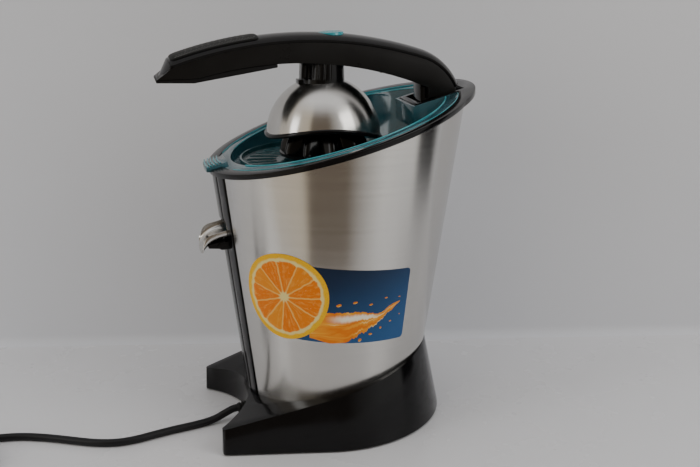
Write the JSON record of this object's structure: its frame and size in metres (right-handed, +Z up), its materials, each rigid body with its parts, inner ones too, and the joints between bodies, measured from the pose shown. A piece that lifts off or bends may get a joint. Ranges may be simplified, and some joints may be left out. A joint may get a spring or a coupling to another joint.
{
  "type": "citrus press juicer",
  "caption": "Electric citrus press: slanted steel shell on a forked black base, teal tray with strainer and reamer, spout, and a hinged arm with a steel pressing dome.",
  "frame": {"origin": "on the table under the middle of the juicer's length and width, cord left out", "axes": "+Z up, -Y towards the spout and the hand grip, X across"},
  "size_m": [0.2158, 0.583, 0.3288],
  "materials": {
    "black_gloss": "glossy moulded black ABS",
    "black_matte": "satin moulded black plastic",
    "rubber": "matt soft black rubber",
    "steel_brushed": "fine brushed stainless sheet",
    "dome_steel": "stainless brushed round the dome",
    "steel_bright": "satin bright steel",
    "label": "printed satin film",
    "copper": "enamelled copper windings",
    "bronze": "sintered bronze",
    "gear_white": "natural acetal",
    "orange_film": "film capacitor case",
    "teal_clear": "see-through teal plastic",
    "teal_dark": "dark see-through teal plastic",
    "cord_black": "satin black cable sheath"
  },
  "bodies": {
    "housing": {"base_stand": "black_gloss", "bottom_cover": "black_matte", "rubber_feet": "rubber", "cover_screws": "steel_bright", "steel_shell": "steel_brushed", "front_panel": "black_gloss", "label_sheet": "label", "rim_collar": "black_gloss", "hinge_bracket": "black_gloss", "chassis": "black_matte", "gearbox_housing": "black_matte", "gearbox_cover": "black_matte", "gearbox_screws": "steel_bright", "motor_can": "steel_bright", "motor_stator": "copper", "shaft_tower": "black_matte", "shaft_bush": "bronze", "return_spring": "steel_bright", "micro_switch": "black_matte", "capacitor": "orange_film", "terminal_block": "gear_white", "cord_clamp": "black_matte", "juice_tray": "teal_clear", "strainer": "teal_dark", "spout_hinge": "black_matte", "strain_relief": "rubber", "mains_cord": "cord_black", "cord_coil": "cord_black", "cord_tail": "cord_black", "mains_plug": "cord_black"},
    "arm": {"arm_frame": "black_gloss", "arm_cover": "black_gloss", "arm_tail_cover": "black_gloss", "grip_pad": "rubber", "lower_grip": "black_matte", "hinge_pin": "steel_bright", "arm_screws": "steel_bright", "button_spring": "steel_bright", "dome_holder": "black_gloss", "dome_shell": "dome_steel", "dome_liner": "black_gloss", "dome_rim": "black_gloss"},
    "button": {"release_button": "teal_clear"},
    "latch": {"dome_latch": "black_gloss"},
    "press_carrier": {"thrust_washer": "steel_bright"},
    "spindle": {"drive_shaft": "steel_bright", "output_gear": "gear_white", "small_reamer": "black_gloss", "large_reamer": "black_gloss"},
    "idler": {"intermediate_gear": "gear_white"},
    "rotor": {"motor_rotor": "copper", "cooling_fan": "black_matte"},
    "spout": {"spout_lip": "steel_bright", "spout_lever": "black_matte"}
  },
  "joints": [
    {"name": "arm_lift", "type": "hinge", "parent": "housing", "child": "arm", "pos_m": [0, 0.095, 0.28094], "axis": [-1, 0, 0], "range_deg": [0, 60]},
    {"name": "button_press", "type": "slide", "parent": "arm", "child": "button", "axis": [0, 0, -1], "range_m": [0, 0.0025], "stiffness_N_per_m": 800, "springref_m": -0.002, "deforming": ["button_spring"]},
    {"name": "latch_slide", "type": "slide", "parent": "arm", "child": "latch", "axis": [0, -1, 0], "range_m": [0, 0.0015]},
    {"name": "reamer_press", "type": "slide", "parent": "housing", "child": "press_carrier", "axis": [0, 0, -1], "range_m": [0, 0.003], "stiffness_N_per_m": 2000, "springref_m": -0.004, "deforming": ["return_spring"]},
    {"name": "spindle_spin", "type": "hinge", "parent": "press_carrier", "child": "spindle", "pos_m": [0, 0.003, 0.12], "axis": [0, 0, 1], "continuous": true},
    {"name": "idler_spin", "type": "hinge", "parent": "housing", "child": "idler", "pos_m": [0.0344, 0.02709, 0.12], "axis": [0, 0, 1], "continuous": true},
    {"name": "motor_spin", "type": "hinge", "parent": "housing", "child": "rotor", "pos_m": [0.00152, 0.03906, 0.08], "axis": [0, 0, 1], "continuous": true},
    {"name": "spout_tilt", "type": "hinge", "parent": "housing", "child": "spout", "pos_m": [0, -0.08841, 0.1615], "axis": [-1, 0, 0], "range_deg": [0, 22]}
  ],
  "couplings": [
    {"joint": "idler_spin", "follows": "motor_spin", "ratio": -0.27273},
    {"joint": "spindle_spin", "follows": "motor_spin", "ratio": 0.090909},
    {"joint": "latch_slide", "follows": "button_press", "ratio": 0.6}
  ]
}
